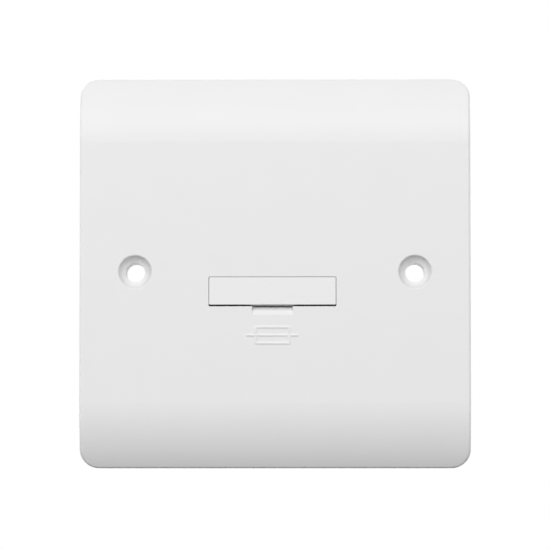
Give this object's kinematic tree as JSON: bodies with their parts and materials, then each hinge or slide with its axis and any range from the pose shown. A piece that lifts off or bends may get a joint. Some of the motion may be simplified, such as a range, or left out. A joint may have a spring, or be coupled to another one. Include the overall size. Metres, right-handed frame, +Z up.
{
  "type": "fused spur unit",
  "caption": "Square moulded wall plate with fixing holes, a pull-out fuse carrier and a rear terminal housing, which feeds one fixed appliance through a cartridge fuse.",
  "frame": {"origin": "on the wall plane, midway between the two fixing holes", "axes": "+X to the right and +Z up as seen from the room, +Y into the wall"},
  "size_m": [0.0842, 0.0258, 0.0842],
  "materials": {
    "plate_moulding": "gloss moulded urea",
    "housing_moulding": "satin moulded nylon",
    "plated_screws": "zinc plated, turned",
    "terminal_brass": "drawn and sawn",
    "contact_strip": "rolled and pressed bronze",
    "fuse_tube": "bisque fired",
    "fuse_caps": "nickel plated, drawn",
    "fuse_element": "silvered wire"
  },
  "bodies": {
    "unit": {"front_plate": "plate_moulding", "terminal_housing": "housing_moulding", "housing_screws": "plated_screws", "live_supply_contact": "contact_strip", "live_load_contact": "contact_strip", "earth_link": "contact_strip", "neutral_link": "contact_strip", "earth_supply_terminal": "terminal_brass", "live_supply_terminal": "terminal_brass", "neutral_supply_terminal": "terminal_brass", "earth_load_terminal": "terminal_brass", "live_load_terminal": "terminal_brass", "neutral_load_terminal": "terminal_brass"},
    "carrier": {"fuse_carrier": "plate_moulding", "fuse_barrel": "fuse_tube", "fuse_cap_left": "fuse_caps", "fuse_cap_right": "fuse_caps", "fuse_wire": "fuse_element"},
    "earth_supply_clamp": {"earth_supply_screw": "plated_screws"},
    "live_supply_clamp": {"live_supply_screw": "plated_screws"},
    "neutral_supply_clamp": {"neutral_supply_screw": "plated_screws"},
    "earth_load_clamp": {"earth_load_screw": "plated_screws"},
    "live_load_clamp": {"live_load_screw": "plated_screws"},
    "neutral_load_clamp": {"neutral_load_screw": "plated_screws"}
  },
  "joints": [
    {"name": "carrier_slide", "type": "slide", "parent": "unit", "child": "carrier", "axis": [0, -1, 0], "range_m": [0, 0.01]},
    {"name": "earth_supply_clamp_travel", "type": "slide", "parent": "unit", "child": "earth_supply_clamp", "axis": [0, -1, 0], "range_m": [0, 0.0044]},
    {"name": "live_supply_clamp_travel", "type": "slide", "parent": "unit", "child": "live_supply_clamp", "axis": [0, -1, 0], "range_m": [0, 0.0044]},
    {"name": "neutral_supply_clamp_travel", "type": "slide", "parent": "unit", "child": "neutral_supply_clamp", "axis": [0, -1, 0], "range_m": [0, 0.0044]},
    {"name": "earth_load_clamp_travel", "type": "slide", "parent": "unit", "child": "earth_load_clamp", "axis": [0, -1, 0], "range_m": [0, 0.0044]},
    {"name": "live_load_clamp_travel", "type": "slide", "parent": "unit", "child": "live_load_clamp", "axis": [0, -1, 0], "range_m": [0, 0.0044]},
    {"name": "neutral_load_clamp_travel", "type": "slide", "parent": "unit", "child": "neutral_load_clamp", "axis": [0, -1, 0], "range_m": [0, 0.0044]}
  ]
}
